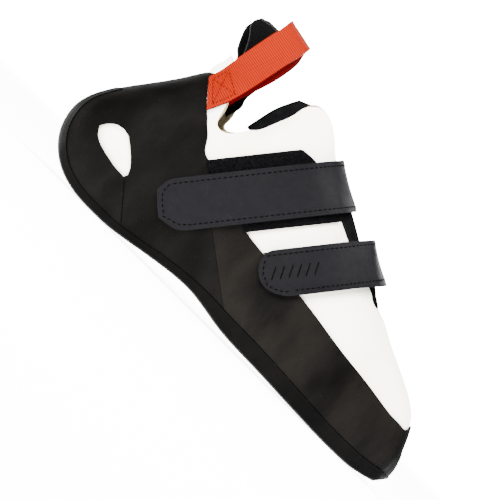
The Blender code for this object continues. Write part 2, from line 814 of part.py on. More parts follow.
def rung_spots(rungs, aside):
    spots = []
    for rung in rungs:
        slant = math.radians(rung.slant)
        width = Vector((math.cos(slant), 0.0, -math.sin(slant))) * WEBBING_WIDTH / 2
        spots.append(Vector((rung.along * LENGTH, 0.0, rung.rise * HEEL_HEIGHT)) + width * aside)
    return spots


def loop_line(tree, rungs, side, aside):
    """One line along a pull loop: up outside the collar, over, and down inside it."""
    away = Vector((0.0, side, 0.0))
    line = []
    spots = rung_spots(rungs, aside)
    reach = HEEL_WIDTH / 3
    for spot in spots[:FREE_RUNG]:
        reach = wall_side(tree, spot, side, False, reach)
        line.append(cleared(tree, spot + away * reach, away))
    free = spots[FREE_RUNG:]
    for place, spot in enumerate(free):
        out = blend(reach, LOOP_TOP, (place + 1) / len(free))
        line.append(cleared(tree, spot + away * out, away))
    lift = (spots[-1] - spots[-2]).normalized() * LOOP_DEPTH / 2
    for turn in (45, 90, 135):
        angle = math.radians(turn)
        out = LOOP_TOP - LOOP_DEPTH * (1 - math.cos(angle)) / 2
        line.append(spots[-1] + lift * math.sin(angle) + away * out)
    under = HEEL_WIDTH / 3
    inwards = Vector((0.8, -0.6 * side, 0.0))
    sewn = []
    for spot in rung_spots(LOOP_INSIDE, aside):
        under = wall_side(tree, spot, side, True, under)
        sewn.append(cleared(tree, spot + away * under, inwards))
    under = side * sewn[-1].y - LOOP_CLEARANCE
    for place, spot in list(enumerate(free))[::-1]:
        share = (place + 1) / len(free)
        out = blend(under, LOOP_TOP - LOOP_DEPTH, share)
        skew = Vector((LOOP_SKEW * math.sin(math.pi * share), 0.0, 0.0))
        line.append(cleared(tree, spot + away * out + skew, inwards))
    return line + sewn[::-1]


def make_loop(name, rungs, side, colour):
    tree = surface_tree(("upper", "rand_heel"))
    lines = [loop_line(tree, rungs, side, aside) for aside in (-1.0, -0.33, 0.33, 1.0)]
    outer = []
    inner = []
    for line in lines:
        high = []
        low = []
        for place, spot in enumerate(line):
            run = line[min(place + 1, len(line) - 1)] - line[max(place - 1, 0)]
            width = lines[-1][place] - lines[0][place]
            away = run.cross(width).normalized() * side
            high.append(spot - away * WEBBING_THICKNESS / 2)
            low.append(spot + away * WEBBING_THICKNESS / 2)
        outer.append(high)
        inner.append(low)
    if side < 0:
        outer, inner = inner, outer
    return add_piece(name, *solid_of_grids(outer, inner), colour, 0.7)


clear_scene()
last = make_last()
make_upper(last)
make_insole(last)
make_outsole(last)
make_rand(last)
make_tongue(last)
make_patches()
make_straps()
make_loop("pull_loop_outer", OUTER_LOOP, -1, (1.0, 0.06, 0.005))
make_loop("pull_loop_inner", INNER_LOOP, 1, (0.015, 0.015, 0.016))
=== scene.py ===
import math

import bmesh
import bpy
from mathutils import Matrix, Vector, noise
from mathutils.bvhtree import BVHTree


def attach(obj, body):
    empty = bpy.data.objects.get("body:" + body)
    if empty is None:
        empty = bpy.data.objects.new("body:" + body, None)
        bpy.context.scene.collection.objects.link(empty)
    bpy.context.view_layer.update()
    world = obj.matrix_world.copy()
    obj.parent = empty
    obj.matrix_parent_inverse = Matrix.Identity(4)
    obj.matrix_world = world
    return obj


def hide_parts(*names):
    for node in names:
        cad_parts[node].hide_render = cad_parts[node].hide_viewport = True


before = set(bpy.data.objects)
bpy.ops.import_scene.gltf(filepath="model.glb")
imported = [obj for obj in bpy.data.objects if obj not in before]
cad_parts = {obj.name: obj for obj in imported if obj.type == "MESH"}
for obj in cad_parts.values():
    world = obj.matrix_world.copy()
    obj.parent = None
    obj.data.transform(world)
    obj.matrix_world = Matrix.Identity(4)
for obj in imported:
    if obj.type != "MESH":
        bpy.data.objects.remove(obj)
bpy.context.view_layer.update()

# A climbing shoe for the right foot, toe towards +X and the outer side towards -Y.
shoe = {
    "length": 0.255,
    "instep": 0.1244,
}

# How the side view lies in the photograph at 500 by 500: a pixel's size, the pixel of the shoe's own
# corner, and the turn's cosine and sine.
sideView = {
    "pixel": 0.000525,
    "corner": (90, 209),
    "turn": (0.708, 0.706),
}


def sidePlace(along, rise):
    # A place in the side view, from shares of the shoe's length and instep height.
    return along * shoe["length"], rise * shoe["instep"]


def pictured(across, down):
    # A place in the side view, from its place in the photograph.
    across -= sideView["corner"][0]
    down -= sideView["corner"][1]
    cosine, sine = sideView["turn"]
    along = cosine * across + sine * down
    rise = sine * across - cosine * down
    return along * sideView["pixel"], rise * sideView["pixel"]


# Handling pieces

handling = {
    "mergeGap": 0.00001,
    "faceAngle": math.radians(50),
    "shapeAngle": math.radians(70),
    "sideBlend": 0.003,
}


def only(piece):
    bpy.ops.object.select_all(action="DESELECT")
    piece.select_set(True)
    bpy.context.view_layer.objects.active = piece


def applyModifiers(piece):
    only(piece)
    for modifier in list(piece.modifiers):
        bpy.ops.object.modifier_apply(modifier=modifier.name)


def smoothShade(piece, angle=38):
    only(piece)
    bpy.ops.object.shade_smooth_by_angle(angle=math.radians(angle))


def dressed(node, name, material, levels=2, sharp=35, crease=0.9):
    # A copy of a CAD node, merged back to faces with four corners and rounded between its edges.
    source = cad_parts[node]
    piece = source.copy()
    piece.data = source.data.copy()
    piece.name = name
    piece.parent = None
    piece.matrix_world = Matrix.Identity(4)
    bpy.context.scene.collection.objects.link(piece)
    only(piece)
    if piece.data.has_custom_normals:
        bpy.ops.mesh.customdata_custom_splitnormals_clear()
    bpy.ops.object.mode_set(mode="EDIT")
    bpy.ops.mesh.select_all(action="SELECT")
    bpy.ops.mesh.remove_doubles(threshold=handling["mergeGap"])
    bpy.ops.mesh.tris_convert_to_quads(
        face_threshold=handling["faceAngle"], shape_threshold=handling["shapeAngle"],
    )
    bpy.ops.mesh.select_all(action="DESELECT")
    bpy.ops.object.mode_set(mode="OBJECT")
    shape = bmesh.new()
    shape.from_mesh(piece.data)
    held = shape.edges.layers.float.new("crease_edge")
    for edge in shape.edges:
        edge.smooth = True
        if len(edge.link_faces) == 2 and edge.calc_face_angle() > math.radians(sharp):
            edge[held] = crease
    shape.to_mesh(piece.data)
    shape.free()
    rounding = piece.modifiers.new("rounding", "SUBSURF")
    rounding.levels = levels
    rounding.render_levels = levels
    rounding.use_limit_surface = False
    applyModifiers(piece)
    smoothShade(piece)
    piece.data.materials.clear()
    piece.data.materials.append(material)
    return piece


def segmentDistance(x, z, start, end):
    # How far a place in the side view is from a straight line there.
    dx, dz = end[0] - start[0], end[1] - start[1]
    share = ((x - start[0]) * dx + (z - start[1]) * dz) / max(dx * dx + dz * dz, 1e-12)
    near = min(max(share, 0.0), 1.0)
    return math.hypot(x - start[0] - near * dx, z - start[1] - near * dz)


def sideShare(side, across):
    # How much a pull moves at this place across the shoe. Side 0 moves the whole width, -1 the outer half,
    # 1 the inner half, and a pair a strip, with its middle and reach.
    if isinstance(side, tuple):
        return math.exp(-((across - side[0]) / side[1]) ** 2)
    return min(max(side * across / handling["sideBlend"], 0.0), 1.0) if side else 1.0


def grab(piece, pulls):
    # Soft pulls in the side view. Each has a side, a line's two ends, a reach and a move, all but the side
    # in the photograph's pixels.
    zeroX, zeroZ = pictured(0, 0)
    for vertex in piece.data.vertices:
        spot = vertex.co.copy()
        for side, start, end, reach, shift in pulls:
            share = sideShare(side, spot.y)
            distance = segmentDistance(spot.x, spot.z, pictured(*start), pictured(*end))
            share *= math.exp(-(distance / (reach * sideView["pixel"])) ** 2)
            moveX, moveZ = pictured(*shift)
            vertex.co.x += (moveX - zeroX) * share
            vertex.co.z += (moveZ - zeroZ) * share


def finished(piece, slotName, *nodes):
    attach(piece, "root")
    if nodes:
        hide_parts(*nodes)
    print("made", piece.name, len(piece.data.polygons))


def treeOf(*pieces):
    points = []
    faces = []
    for piece in pieces:
        first = len(points)
        points += [vertex.co.copy() for vertex in piece.data.vertices]
        faces += [[first + number for number in face.vertices] for face in piece.data.polygons]
    return BVHTree.FromPolygons(points, faces)


# Materials

def newMaterial(name, roughness, **values):
    material = bpy.data.materials.new(name)
    material.use_nodes = True
    shader = material.node_tree.nodes["Principled BSDF"]
    shader.inputs["Roughness"].default_value = roughness
    for socket, value in values.items():
        shader.inputs[socket].default_value = value
    place = material.node_tree.nodes.new("ShaderNodeTexCoord")
    place.name = "place"
    return material


def grain(material, scale, detail=2.0, kind="noise", stretch=None):
    nodes, links = material.node_tree.nodes, material.node_tree.links
    if kind == "noise":
        texture = nodes.new("ShaderNodeTexNoise")
        texture.inputs["Detail"].default_value = detail
        out = texture.outputs["Fac"]
    else:
        texture = nodes.new("ShaderNodeTexVoronoi")
        out = texture.outputs["Distance"]
    texture.inputs["Scale"].default_value = scale
    if stretch:
        mapping = nodes.new("ShaderNodeMapping")
        mapping.inputs["Scale"].default_value = stretch["scale"]
        mapping.inputs["Rotation"].default_value = stretch["turn"]
        links.new(nodes["place"].outputs["Object"], mapping.inputs["Vector"])
        links.new(mapping.outputs["Vector"], texture.inputs["Vector"])
    else:
        links.new(nodes["place"].outputs["Object"], texture.inputs["Vector"])
    return out


def ramp(material, out, *stops):
    node = material.node_tree.nodes.new("ShaderNodeValToRGB")
    elements = node.color_ramp.elements
    while len(elements) < len(stops):
        elements.new(0.5)
    for element, (place, colour) in zip(elements, stops):
        element.position = place
        element.color = (*colour, 1.0) if hasattr(colour, "__len__") else (colour, colour, colour, 1.0)
    material.node_tree.links.new(out, node.inputs["Fac"])
    return node.outputs["Color"]


def colourFrom(material, out, *stops):
    shader = material.node_tree.nodes["Principled BSDF"]
    material.node_tree.links.new(ramp(material, out, *stops), shader.inputs["Base Color"])


def roughnessFrom(material, out, *stops):
    shader = material.node_tree.nodes["Principled BSDF"]
    material.node_tree.links.new(ramp(material, out, *stops), shader.inputs["Roughness"])


def bumpFrom(material, *layers):
    # Each layer is a height and its depth in metres, the first one deepest in the chain.
    nodes, links = material.node_tree.nodes, material.node_tree.links
    before = None
    for out, depth in layers:
        bump = nodes.new("ShaderNodeBump")
        bump.inputs["Strength"].default_value = 1.0
        bump.inputs["Distance"].default_value = depth
        links.new(out, bump.inputs["Height"])
        if before:
            links.new(before, bump.inputs["Normal"])
        before = bump.outputs["Normal"]
    links.new(before, nodes["Principled BSDF"].inputs["Normal"])


def whiteUpperMaterial():
    material = newMaterial("whiteMicrofibre", 0.62, **{"Specular IOR Level": 0.35, "Sheen Weight": 0.08})
    colourFrom(
        material, grain(material, 34, 3),
        (0.30, (0.93, 0.84, 0.66)), (0.52, (0.95, 0.895, 0.77)), (0.75, (0.965, 0.93, 0.84)),
    )
    roughnessFrom(material, grain(material, 160, 3), (0.3, 0.54), (0.7, 0.70))
    bumpFrom(
        material,
        (grain(material, 70, 3), 0.0006),
        (grain(material, 1500, 2, "cells"), 0.00006),
        (grain(material, 2600, 2), 0.00004),
    )
    return material


def rubberMaterial(name, dark, light, roughness):
    material = newMaterial(name, roughness, **{"Specular IOR Level": 0.012})
    smudge = grain(material, 26, 5, stretch={"scale": (1.0, 1.0, 0.45), "turn": (0, 0.5, 0)})
    colourFrom(material, smudge, (0.32, dark), (0.55, light), (0.72, dark))
    roughnessFrom(material, grain(material, 55, 4), (0.3, roughness - 0.07), (0.7, roughness + 0.09))
    bumpFrom(
        material,
        (grain(material, 42, 3), 0.0009),
        (grain(material, 420, 3), 0.00008),
        (grain(material, 300, 3, stretch={"scale": (1.0, 1.0, 0.1), "turn": (0, -0.78, 0)}), 0.00012),
        (grain(material, 2200, 2), 0.00004),
    )
    return material


def strapMaterial():
    material = newMaterial("strapFace", 0.55, **{"Specular IOR Level": 0.04})
    colourFrom(
        material, grain(material, 220, 4),
        (0.3, (0.0009, 0.0008, 0.0012)), (0.7, (0.0013, 0.0011, 0.0017)),
    )
    roughnessFrom(material, grain(material, 300, 3), (0.3, 0.52), (0.7, 0.60))
    bumpFrom(
        material,
        (grain(material, 90, 2), 0.00008),
        (grain(material, 2400, 3, "cells"), 0.00007),
    )
    return material


def pileMaterial():
    material = newMaterial("loopPile", 0.95, **{"Specular IOR Level": 0.0})
    colourFrom(
        material, grain(material, 1300, 3),
        (0.35, (0.0006, 0.0006, 0.0007)), (0.7, (0.0028, 0.0028, 0.0030)),
    )
    bumpFrom(
        material,
        (grain(material, 500, 3), 0.0004),
        (grain(material, 1800, 3, "cells"), 0.0005),
    )
    return material


def fabricMaterial(name, dark, light, scale, depth):
    material = newMaterial(name, 0.9, **{"Specular IOR Level": 0.02})
    colourFrom(material, grain(material, 260, 3), (0.3, dark), (0.7, light))
    bumpFrom(
        material,
        (grain(material, scale, 2, "cells"), depth),
        (grain(material, scale * 2.5, 2), depth / 4),
    )
    return material


def webbingMaterial(name, dark, light, ribs=870):
    # Ribs, so many to a metre, follow the piece's own run along the webbing, held in an attribute.
    material = newMaterial(name, 0.62, **{"Specular IOR Level": 0.02})
    nodes, links = material.node_tree.nodes, material.node_tree.links
    run = nodes.new("ShaderNodeAttribute")
    run.attribute_name = "run"
    turn = nodes.new("ShaderNodeMath")
    turn.operation = "MULTIPLY"
    turn.inputs[1].default_value = 2 * math.pi * ribs
    links.new(run.outputs["Fac"], turn.inputs[0])
    wave = nodes.new("ShaderNodeMath")
    wave.operation = "SINE"
    links.new(turn.outputs[0], wave.inputs[0])
    half = nodes.new("ShaderNodeMath")
    half.operation = "MULTIPLY_ADD"
    half.inputs[1].default_value = 0.5
    half.inputs[2].default_value = 0.5
    links.new(wave.outputs[0], half.inputs[0])
    colourFrom(material, half.outputs[0], (0.05, dark), (0.6, light))
    bumpFrom(
        material,
        (half.outputs[0], 0.00022),
        (grain(material, 2200, 2), 0.00006),
    )
    return material


white = whiteUpperMaterial()
randRubber = rubberMaterial("randRubber", (0.0004, 0.0004, 0.0004), (0.0036, 0.0031, 0.0026), 0.58)
heelRubber = rubberMaterial("heelRubber", (0.0001, 0.0001, 0.0001), (0.0020, 0.0018, 0.0016), 0.60)
soleRubber = rubberMaterial("soleRubber", (0.0004, 0.0004, 0.0004), (0.0013, 0.0012, 0.0011), 0.62)
strapFace = strapMaterial()
pile = pileMaterial()
# The upper's inside: the white microfibre's back in the dark, painted a dim tan as painted shade, with a
# knit bump.
paintedInnerShade = fabricMaterial("tanPaintedShade", (0.145, 0.115, 0.062), (0.235, 0.19, 0.115), 1100, 0.00016)
insoleBoard = fabricMaterial("insoleBoard", (0.15, 0.12, 0.08), (0.22, 0.18, 0.12), 700, 0.0002)
tongueKnit = fabricMaterial("tongueKnit", (0.0006, 0.0006, 0.0007), (0.0018, 0.0018, 0.002), 900, 0.0003)
orange = webbingMaterial("orangeWebbing", (0.075, 0.0022, 0.0), (0.140, 0.0062, 0.0))
# A dim red copy of the orange webbing for the loop's inner faces: painted shade.
paintedLoopShade = webbingMaterial("paintedLoopShade", (0.035, 0.0001, 0.0001), (0.055, 0.0002, 0.0001))
blackWebbing = webbingMaterial("blackWebbing", (0.0002, 0.0002, 0.0002), (0.0007, 0.0007, 0.0007))
blackThread = fabricMaterial("blackThread", (0.0, 0.0, 0.0), (0.0003, 0.0003, 0.0003), 3000, 0.0001)
whiteThread = fabricMaterial("whiteThread", (0.72, 0.69, 0.63), (0.86, 0.84, 0.80), 3000, 0.0001)
orangeThread = fabricMaterial("orangeThread", (0.03, 0.0005, 0.0), (0.05, 0.001, 0.0), 3000, 0.0001)
print("materials made")


# Upper: a thin white shell, its inside painted dim tan as painted shade

# Two pulls that several pieces share: the top of the toe, and the far edge of the collar.
toeTopPull = (0, (384, 326), (409, 418), 12, (2.8, -0.4))
farCollarPull = (1, (231, 98), (224, 136), 10, (10.5, 1.0))

upperLook = {
    "facing": 0.8,
    "rimTurn": 0.6,
    "folds": (
        # side, from, to, half width, depth: a trough is above nought, a ridge below
        (-1, (0.100, 1.10), (0.205, 0.93), 0.0045, 0.0007),
        (-1, (0.055, 0.70), (0.115, 0.60), 0.0040, 0.0006),
        (-1, (0.030, 0.60), (0.085, 0.54), 0.0050, -0.0005),
        (-1, (0.44, 0.38), (0.50, 0.58), 0.0050, 0.0007),
        (-1, (0.53, 0.34), (0.60, 0.47), 0.0060, 0.0006),
        (-1, (0.60, 0.33), (0.66, 0.42), 0.0050, -0.0004),
        (1, (0.100, 1.08), (0.190, 0.92), 0.0045, 0.0008),
        (1, (0.44, 0.38), (0.51, 0.57), 0.0055, 0.0008),
        (1, (0.54, 0.35), (0.61, 0.46), 0.0060, 0.0007),
        (1, (0.060, 0.66), (0.120, 0.56), 0.0050, 0.0006),
    ),
    "foldsFrom": 0.004,
    "sway": 0.00025,
    "swayScale": 45,
    "pulls": (
        # The near edge of the throat, the slit's end and the collar lie lower, and the far collar's edge
        # further forward.
        (-1, (345, 205), (358, 240), 9, (-6.5, 1.0)),
        ((0.0, 0.0045), (371, 284), (378, 300), 7, (-4.0, 0.5)),
        ((0.002, 0.003), (378, 302), (379, 308), 5, (-4.0, 1.0)),
        toeTopPull,
        (-1, (262, 124), (288, 110), 13, (1.0, 7.0)),
        farCollarPull,
        (0, (214, 68), (217, 66), 6, (-1.5, -3.0)),
    ),
}


def outerFaces(shape):
    # The faces reached from the outermost one without crossing a rim's edge.
    shape.faces.ensure_lookup_table()
    facing = [face for face in shape.faces if face.normal.y < -upperLook["facing"]]
    seed = min(facing, key=lambda face: face.calc_center_median().y)
    outside = {seed}
    front = [seed]
    while front:
        face = front.pop()
        for edge in face.edges:
            for other in edge.link_faces:
                if other not in outside and other.normal.dot(face.normal) > upperLook["rimTurn"]:
                    outside.add(other)
                    front.append(other)
    return outside


def makeUpper():
    piece = dressed("upper", "upperShell", white, 2, 42, 0.85)
    piece.data.materials.append(paintedInnerShade)
    shape = bmesh.new()
    shape.from_mesh(piece.data)
    outer = outerFaces(shape)
    onOutside = {vertex for face in outer for vertex in face.verts}
    folds = []
    for side, start, end, width, depth in upperLook["folds"]:
        folds.append((side, sidePlace(*start), sidePlace(*end), width, depth))
    moves = {}
    for vertex in shape.verts:
        away = vertex.normal if vertex in onOutside else -vertex.normal
        spot = vertex.co
        depth = upperLook["sway"] * noise.noise(spot * upperLook["swayScale"])
        for side, start, end, width, fold in folds:
            if side * spot.y < upperLook["foldsFrom"]:
                continue
            distance = segmentDistance(spot.x, spot.z, start, end)
            depth -= fold * math.exp(-(distance / width) ** 2)
        moves[vertex] = away * depth
    for vertex, move in moves.items():
        vertex.co += move
    # Outer faces take the white; the faces inside the shell take the dim tan painted shade.
    for face in shape.faces:
        face.material_index = 0 if face in outer else 1
    shape.to_mesh(piece.data)
    shape.free()
    grab(piece, upperLook["pulls"])
    finished(piece, "white_upper", "upper")
    return piece


upperShell = makeUpper()


# Sole, rand and insole

rubberLook = {
    "pulls": (
        toeTopPull,
        (0, (403, 434), (404, 435), 4, (1.0, -3.5)),
        (0, (394, 458), (386, 474), 9, (1.8, 1.8)),
    ),
}


def makeRubber():
    sole = dressed("outsole", "outsoleRubber", soleRubber, 2, 32, 0.9)
    grab(sole, rubberLook["pulls"])
    finished(sole, "sole_rubber", "outsole")
    toe = dressed("rand_toe", "randToe", randRubber, 2, 40, 0.9)
    grab(toe, rubberLook["pulls"])
    finished(toe, "rand_rubber", "rand_toe")
    heel = dressed("rand_heel", "randHeel", heelRubber, 2, 40, 0.9)
    finished(heel, "rand_rubber", "rand_heel")
    board = dressed("insole", "insoleSock", insoleBoard, 2, 40, 0.9)
    finished(board, "insole_board", "insole")
    return heel


randHeel = makeRubber()


# Tongue

tongueLook = {
    "fill": 0.4,
    "pulls": (
        (0, (334, 112), (337, 165), 12, (-4.0, 0.0)),
        ((0.0057, 0.0018), (368, 286), (370, 304), 9, (8.5, 0.5)),
        ((0.0060, 0.0020), (369, 303), (368, 306), 5, (3.0, 4.0)),
    ),
}


def makeTongue():
    piece = dressed("tongue", "tonguePad", tongueKnit, 2, 50, 0.6)
    grab(piece, tongueLook["pulls"])
    finished(piece, "tongue_fabric", "tongue")


makeTongue()


# Straps and the pile patches under them

strapLook = {
    "slope": math.radians(51.3),
    # Half degrees round a strap, from below its outer end to below its inner one
    "sweep": (-100, 461),
    # rows: the side of the strap and the height at which a row of stitches starts
    "upper": {
        "anchor": (0.206, 0.485), "depth": 0.022, "width": 0.0275, "inset": 0.0027,
        "rows": ((-1, -0.0356), (1, -0.0272)), "rowsEnd": -0.006,
    },
    "lower": {
        "anchor": (0.391, 0.430), "depth": 0.046, "width": 0.0246, "inset": 0.0027,
        "rows": ((-1, -0.0155), (1, -0.0040)), "rowsEnd": -0.002,
    },
    "pulls": (
        (0, (368, 236), (379, 288), 13, (10.0, 0.5)),
    ),
    "patchPulls": (
        (0, (214, 168), (214, 175), 5, (-3.0, 1.5)),
    ),
}


def makeStraps():
    for node, name in (("patch_upper", "pileUpper"), ("patch_lower", "pileLower")):
        piece = dressed(node, name, pile, 3, 40, 0.45)
        if node == "patch_upper":
            grab(piece, strapLook["patchPulls"])
        finished(piece, "loop_pile", node)
    straps = []
    for node, name in (("strap_upper", "strapUpper"), ("strap_lower", "strapLower")):
        piece = dressed(node, name, strapFace, 3, 40, 0.93)
        if node == "strap_lower":
            grab(piece, strapLook["pulls"])
        finished(piece, "strap_rubber", node)
        straps.append(piece)
    return straps


strapUpper, strapLower = makeStraps()


# Pull loops

loopLook = {
    # The middle of each loop's webbing, in pixels along and above the sole
    "outer": (
        (3.5, 164), (8.5, 176.5), (12.25, 187.5), (15.75, 206), (19.5, 226), (23, 245.5), (27.4, 266.5),
    ),
    "inner": ((3.5, 164), (9, 177), (12.5, 188), (15, 206), (8.5, 222), (3, 236), (-1, 251)),
    "beyond": 0.3,
    "outerFlat": (0.0175, 0.131),
    "innerFlat": (0.0175, 0.1185),
    "outerPulls": (
        (0, (297, 22), (314, 50), 9, (-2.5, 2.0)),
    ),
    "innerPulls": (
        (0, (261, 11), (262, 12), 7, (1.5, 5.5)),
        (0, (240, 46), (250, 26), 7, (-4.5, 0.0)),
        farCollarPull,
    ),
}


def addRun(piece, places):
    # How far along the webbing each corner is, for the ribs of the weave.
    line = [Vector((u * sideView["pixel"], w * sideView["pixel"])) for u, w in places]
    line[-1] += (line[-1] - line[-2]) * loopLook["beyond"]
    lengths = [0.0]
    for one, two in zip(line, line[1:]):
        lengths.append(lengths[-1] + (two - one).length)
    layer = piece.data.attributes.new("run", "FLOAT", "POINT")
    for vertex, value in zip(piece.data.vertices, layer.data):
        spot = Vector((vertex.co.x, vertex.co.z))
        total = 0.0
        weight = 0.0
        for one, two, start in zip(line, line[1:], lengths):
            step = two - one
            share = (spot - one).dot(step) / step.length_squared
            near = one + step * min(max(share, 0.0), 1.0)
            pull = 1.0 / ((spot - near).length ** 4 + 1e-12)
            total += pull * (start + share * step.length)
            weight += pull
        value.value = total / weight


def makeLoops():
    outer = dressed("pull_loop_outer", "pullLoopOuter", orange, 3, 40, 0.9)
    addRun(outer, loopLook["outer"])
    # The loop's inner faces take the dim red copy of the orange: painted shade.
    outer.data.materials.append(paintedLoopShade)
    shape = bmesh.new()
    shape.from_mesh(outer.data)
    outside = outerFaces(shape)
    for face in shape.faces:
        face.material_index = 0 if face in outside else 1
    shape.to_mesh(outer.data)
    shape.free()
    grab(outer, loopLook["outerPulls"])
    finished(outer, "orange_webbing", "pull_loop_outer")
    inner = dressed("pull_loop_inner", "pullLoopInner", blackWebbing, 3, 40, 0.9)
    addRun(inner, loopLook["inner"])
    grab(inner, loopLook["innerPulls"])
    finished(inner, "black_webbing", "pull_loop_inner")
    return outer, inner


pullLoopOuter, pullLoopInner = makeLoops()


# Stitching

threadLook = {
    "length": 0.0021,
    "radius": 0.00034,
    "pitch": 0.0029,
    "lift": 0.00005,
}
fineThread = dict(threadLook, length=0.0015, pitch=0.0021, radius=0.00024)

lineLook = {
    "sides": 6,
    "pitch": 0.001,
}

# How runs over a surface are found: from how far away, in what steps, and what gap ends a stretch.
runLook = {
    "away": 0.2,
    "step": 0.0004,
    "jump": 0.004,
}


def threadBead():
    bpy.ops.object.select_all(action="DESELECT")
    bpy.ops.mesh.primitive_uv_sphere_add(segments=8, ring_count=6, radius=1.0)
    bead = bpy.context.object
    bead.name = "threadBead"
    return bead


def seen(tree, x, z, side):
    # The surface met when looking at the shoe from one side.
    hit, normal, _, _ = tree.ray_cast(Vector((x, side * runLook["away"], z)), Vector((0.0, -side, 0.0)))
    return None if hit is None else (hit, normal)


def sideRun(tree, places, side=-1):
    run = []
    for one, two in zip(places, places[1:]):
        count = max(int(math.dist(one, two) / runLook["step"]), 1)
        for number in range(count):
            share = number / count
            x = one[0] + (two[0] - one[0]) * share
            z = one[1] + (two[1] - one[1]) * share
            spot = seen(tree, x, z, side)
            if spot:
                run.append(spot)
    return run


def millimetres(*places):
    return [(x / 1000, z / 1000) for x, z in places]


def placedOn(run, pitch):
    # Evenly spaced places on a run, each with its direction and the surface's normal.
    places = []
    wanted = pitch / 2
    travelled = 0.0
    for (one, _), (two, normal) in zip(run, run[1:]):
        length = (two - one).length
        if length > runLook["jump"]:
            continue
        while wanted <= travelled + length and length > 0:
            spot = one.lerp(two, (wanted - travelled) / length)
            places.append((spot, (two - one).normalized(), normal))
            wanted += pitch
        travelled += length
    return places


def pieceFrom(joined, name, material, slotName):
    bmesh.ops.recalc_face_normals(joined, faces=joined.faces)
    mesh = bpy.data.meshes.new(name)
    joined.to_mesh(mesh)
    joined.free()
    piece = bpy.data.objects.new(name, mesh)
    bpy.context.scene.collection.objects.link(piece)
    mesh.materials.append(material)
    smoothShade(piece, 60)
    finished(piece, slotName)


def makeStitches(name, material, slotName, runs, look=threadLook):
    bead = threadBead()
    joined = bmesh.new()
    for run in runs:
        for spot, direction, normal in placedOn(run, look["pitch"]):
            across = normal.cross(direction).normalized()
            turn = Matrix((
                (*(direction * look["length"] / 2), 0), (*(across * look["radius"]), 0),
                (*(normal * look["radius"]), 0), (0, 0, 0, 1),
            )).transposed()
            turn.translation = spot + normal * look["lift"]
            first = len(joined.verts)
            joined.from_mesh(bead.data)
            joined.verts.ensure_lookup_table()
            bmesh.ops.transform(joined, matrix=turn, verts=joined.verts[first:])
    bpy.data.objects.remove(bead)
    pieceFrom(joined, name, material, slotName)


def makeLines(name, material, slotName, runs, radius, lift=0.0):
    # A fine round line along each run, closed at both ends.
    sides, pitch = lineLook["sides"], lineLook["pitch"]
    joined = bmesh.new()
    for run in runs:
        rings = []
        for spot, direction, normal in placedOn(run, pitch):
            across = normal.cross(direction).normalized()
            ring = []
            for number in range(sides):
                turn = 2 * math.pi / sides * number
                out = across * math.cos(turn) + normal * math.sin(turn)
                ring.append(joined.verts.new(spot + normal * lift + out * radius))
            rings.append(ring)
        for one, two in zip(rings, rings[1:]):
            for number in range(sides):
                after = (number + 1) % sides
                joined.faces.new((one[number], one[after], two[after], two[number]))
        joined.faces.new(rings[0][::-1])
        joined.faces.new(rings[-1])
    pieceFrom(joined, name, material, slotName)


def strapRun(tree, strap, across, low, high):
    # Along a strap, over the shoe from one height on the outer side to another on the inner side.
    slope = strapLook["slope"]
    up = Vector((math.cos(slope), 0.0, math.sin(slope)))
    aside = Vector((math.sin(slope), 0.0, -math.cos(slope)))
    x, z = sidePlace(*strap["anchor"])
    anchor = Vector((x, 0.0, z)) + aside * across
    centre = anchor - up * strap["depth"]
    run = []
    for step in range(*strapLook["sweep"]):
        turn = math.radians(step / 2)
        out = up * math.sin(turn) - Vector((0.0, math.cos(turn), 0.0))
        hit, normal, _, _ = tree.ray_cast(centre + out * runLook["away"], -out)
        if hit is None:
            continue
        height = (hit - anchor).dot(up)
        if turn < math.pi / 2 and height < low:
            continue
        if turn > math.pi / 2 and height < high:
            break
        run.append((hit, normal))
    return run


# Rows of stitches in the side view: round the straps' outer ends, by the throat, and on the loops' box
stitchPlaces = {
    "upper": millimetres(
        (21.5, 39.4), (21.5, 33.6), (24.7, 29.9), (31.0, 24.9), (36.2, 26.3), (39.9, 27.8),
        (44.1, 32.0),
    ),
    "lower": millimetres(
        (84.0, 46.2), (85.1, 43.6), (88.2, 40.2), (93.7, 37.5), (97.7, 38.6), (101.9, 41.0),
        (105.0, 44.1),
    ),
    "throat": millimetres((144.4, 65.1), (131.3, 70.1), (107.9, 80.6), (97.5, 85.4)),
    "throatOuter": millimetres((144.6, 62.9), (130.2, 67.9), (106.8, 78.5), (96.4, 83.3)),
    "slitEnd": millimetres((143.3, 69.8), (147.0, 69.6), (149.6, 67.7), (150.2, 65.6)),
    "box": millimetres((-1.7, 93.5), (7.5, 84.0), (12.2, 96.0), (0.9, 102.5), (-1.7, 93.5)),
    "boxCross": millimetres((-1.7, 93.5), (12.2, 96.0)),
    "boxCrossBack": millimetres((7.5, 84.0), (0.9, 102.5)),
}


def makeStrapStitches(which, name, piece):
    strap = strapLook[which]
    tree = treeOf(piece)
    edge = strap["width"] / 2 - strap["inset"]
    runs = [strapRun(tree, strap, side * edge, low, strap["rowsEnd"]) for side, low in strap["rows"]]
    runs.append(sideRun(tree, stitchPlaces[which]))
    makeStitches(name, blackThread, "black_webbing", runs)


def makeFineStitches(name, material, slotName, piece, places, side=-1):
    tree = treeOf(piece)
    runs = [sideRun(tree, stitchPlaces[place], side) for place in places]
    makeStitches(name, material, slotName, runs, fineThread)


def makeAllStitches():
    makeStrapStitches("upper", "strapUpperStitches", strapUpper)
    makeStrapStitches("lower", "strapLowerStitches", strapLower)
    throat = ("throat", "throatOuter", "slitEnd")
    box = ("box", "boxCross", "boxCrossBack")
    makeFineStitches("throatStitches", whiteThread, "white_upper", upperShell, throat)
    makeFineStitches("loopOuterStitches", orangeThread, "orange_webbing", pullLoopOuter, box)
    makeFineStitches("loopInnerStitches", blackThread, "black_webbing", pullLoopInner, box, 1)


makeAllStitches()
print("stitches made")


# The dark bed of the rand's joint, the heel's seam, and pressed bars on the lower strap, in the
# photograph's pixels

